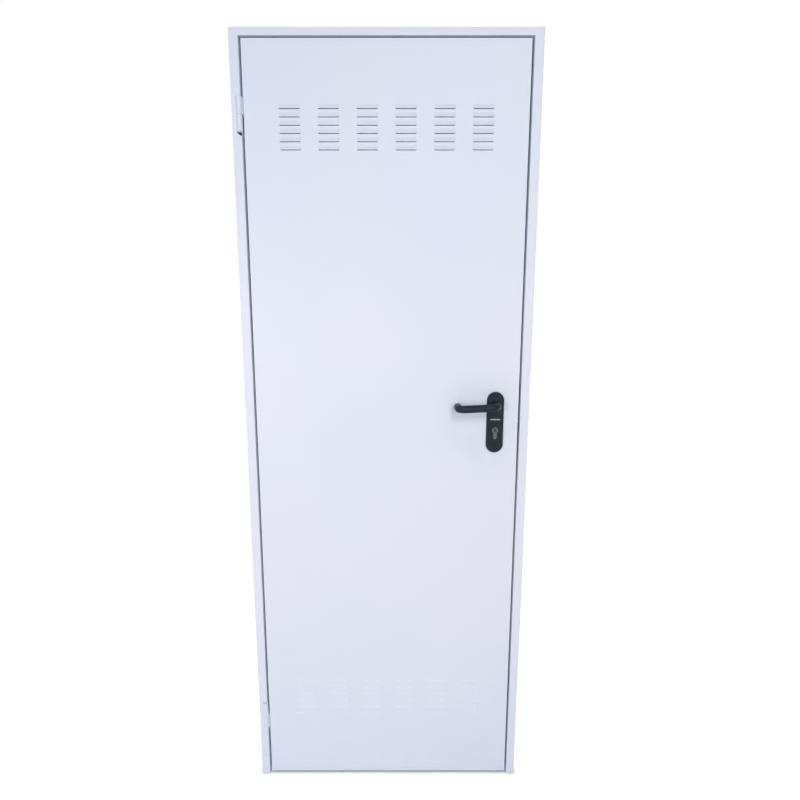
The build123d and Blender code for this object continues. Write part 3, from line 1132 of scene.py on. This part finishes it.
@dataclass
class HandleSet:
    """Levers and plates on both faces, with the screws of the inner plate. Sizes in millimetres."""

    nylon_nodes: tuple[str, ...] = ("outer_plate", "inner_plate", "outer_lever", "inner_lever")
    strips: tuple[str, ...] = ("outer_plate_strip", "inner_plate_strip")
    spindle: str = "lever_spindle"
    plate_screw: Screw = field(default_factory=lambda: Screw(head_radius=4.4))
    set_screw: Screw = field(
        default_factory=lambda: Screw(head_radius=2.4, crown=0.15, recess=Recess.HEX, recess_share=0.5)
    )
    upper_screw_rise: float = 21.0
    lower_screw_rise: float = 15.0
    pad_height: float = 2.5
    set_screw_stand: float = 12.0

    def dress(self, nylon: Material, steel: Material, aluminium: Material) -> None:
        """Dresses the handles.

        Args:
            nylon: Finish of the plates and levers.
            steel: Finish of the spindle.
            aluminium: Finish of the strips.
        """
        for node in self.nylon_nodes:
            dress(node, nylon)
        for node in self.strips:
            dress(node, aluminium)
        dress(self.spindle, steel)

    def build(self, steel: Material) -> None:
        """Adds the inner plate's two screws, and a set screw under the neck of each lever.

        Args:
            steel: Finish of the screws.
        """
        plate_low, plate_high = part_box("inner_plate")
        spindle_low, spindle_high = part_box(self.spindle)
        axis = (spindle_low + spindle_high) / 2
        master = self.plate_screw.build("plate_screw")
        inward = Vector((0, 1, 0))
        points = {
            "upper": Vector((axis.x, plate_high.y, axis.z + self.upper_screw_rise * MM)),
            "lower": Vector(
                (axis.x, plate_high.y - self.pad_height * MM, plate_low.z + self.lower_screw_rise * MM)
            ),
        }
        for place, point in points.items():
            head = Bench.copy(master, f"{place}_inner_plate_screw", aim(point, inward))
            settle(head, Body.LEAF, steel)
        Bench.scrap(master)
        master = self.set_screw.build("set_screw")
        for side, outward in (("outer", -1), ("inner", 1)):
            low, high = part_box(f"{side}_plate")
            face_y = low.y if outward < 0 else high.y
            neck_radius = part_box(f"{side}_lever")[1].x - axis.x
            point = Vector((axis.x, face_y + outward * self.set_screw_stand * MM, axis.z - neck_radius))
            head = Bench.copy(master, f"{side}_lever_set_screw", aim(point, Vector((0, 0, -1))))
            settle(head, Body.LEVERS, steel)
        Bench.scrap(master)


@dataclass(frozen=True)
class Lamp:
    """A soft white area lamp. Places in metres, power in watts."""

    name: str
    place: Triple
    target: Triple
    size: Span
    watts: float
    spread_deg: float = 180.0

    def hang(self) -> None:
        """Adds the lamp to the scene."""
        data = bpy.data.lights.new(self.name, "AREA")
        data.shape = "RECTANGLE"
        data.size, data.size_y = self.size
        data.energy = self.watts
        data.spread = math.radians(self.spread_deg)
        lamp = bpy.data.objects.new(self.name, data)
        lamp.location = self.place
        direction = Vector(self.target) - Vector(self.place)
        lamp.rotation_euler = direction.to_track_quat("-Z", "Y").to_euler()
        bpy.context.scene.collection.objects.link(lamp)


@dataclass
class Studio:
    """Plain pale floor, white surroundings, soft lamps and the camera. Places in metres, angles in degrees."""

    floor_side: float = 14.0
    surround_tone: str = "#FFFFFF"
    ambient_tone: str = "#FBFCFF"
    ambient: float = 0.249
    lamps: tuple[Lamp, ...] = (
        Lamp("key_above", (1.3, -3.9, 3.2), (0.18, 0.0, 0.50), (1.4, 1.2), 13.3, spread_deg=85.0),
        Lamp("left_front", (-1.2, -3.3, 1.35), (0.38, 0.0, 0.5), (1.0, 1.2), 39.2),
        Lamp("right_front", (1.5, -3.6, 1.45), (0.38, 0.0, 0.5), (1.0, 1.2), 17.6),
        Lamp("rear_fill", (0.4, 3.0, 3.4), (0.38, 0.0, 1.0), (2.4, 2.0), 56.0),
        Lamp("left_side", (-2.6, 1.6, 0.35), (0.0, 0.0, 1.3), (0.8, 0.4), 11.5, spread_deg=100.0),
        Lamp("right_side", (3.36, 1.6, 0.35), (0.756, 0.0, 1.3), (0.8, 0.4), 11.5, spread_deg=100.0),
    )
    camera_place: Triple = (0.3971, -1.5520, 1.4201)
    camera_pitch: float = 10.373
    focal_px: float = 580.0
    centre_px: float = 394.46

    def lay_floor(self) -> None:
        """Lays the floor that the door stands on."""
        floor = Bench.start("studio_floor", bpy.ops.mesh.primitive_plane_add, size=self.floor_side)
        floor.data.materials.append(StudioFloor().make())

    def surround(self) -> None:
        """Makes the world: white to the eye and in reflections, a dimmer ambient light elsewhere."""
        world = bpy.data.worlds.new("white_surroundings")
        bpy.context.scene.world = world
        world.use_nodes = True
        tree = world.node_tree
        tree.nodes.clear()
        ambient = add_node(
            tree,
            "ShaderNodeBackground",
            inputs={"Color": srgb(self.ambient_tone), "Strength": self.ambient},
        )
        white = add_node(
            tree,
            "ShaderNodeBackground",
            inputs={"Color": srgb(self.surround_tone), "Strength": WHITE_STRENGTH},
        )
        shown = add_node(
            tree,
            "ShaderNodeMixShader",
            inputs={
                0: shown_to_eye(tree),
                1: ambient.outputs["Background"],
                2: white.outputs["Background"],
            },
        )
        add_node(tree, "ShaderNodeOutputWorld", inputs={"Surface": shown.outputs["Shader"]})

    def set_camera(self) -> None:
        """Sets the camera at the photograph's place and angle."""
        data = bpy.data.cameras.new("camera")
        data.sensor_width = SENSOR_MM
        data.lens = self.focal_px / IMAGE_SIDE_PX * SENSOR_MM
        data.shift_x = (IMAGE_SIDE_PX / 2 - self.centre_px) / IMAGE_SIDE_PX
        camera = bpy.data.objects.new("camera", data)
        camera.location = self.camera_place
        camera.rotation_euler = (math.radians(90.0 - self.camera_pitch), 0.0, 0.0)
        bpy.context.scene.collection.objects.link(camera)
        bpy.context.scene.camera = camera

    def build(self) -> None:
        """Sets up the whole studio."""
        self.lay_floor()
        self.surround()
        for lamp in self.lamps:
            lamp.hang()
        self.set_camera()
        bpy.context.scene.view_settings.view_transform = "Standard"


def main() -> None:
    """Dresses the door, adds its small pieces and sets up the studio."""
    logging.basicConfig(level=logging.INFO, format="%(name)s: %(message)s")
    Bench.clear()
    paint = PowderCoat().make()
    nylon = MouldedNylon().make()
    steel = ZINC_STEEL.make()
    nickel = NICKEL.make()
    shade_darkened_plug_nickel = SHADE_DARKENED_PLUG_NICKEL.make()
    aluminium = ALUMINIUM.make()
    board = HoneycombBoard().make()

    DoorFrame().dress(paint)
    hinges = Hinges()
    hinges.dress(paint)
    hinges.build(steel)
    Leaf().dress(paint, board)
    lock = EdgeLock()
    lock.dress(steel)
    lock.build(steel)
    KeyCylinder().dress(nickel, shade_darkened_plug_nickel)
    handles = HandleSet()
    handles.dress(nylon, steel, aluminium)
    handles.build(steel)
    Studio().build()


if __name__ == "__main__":
    main()
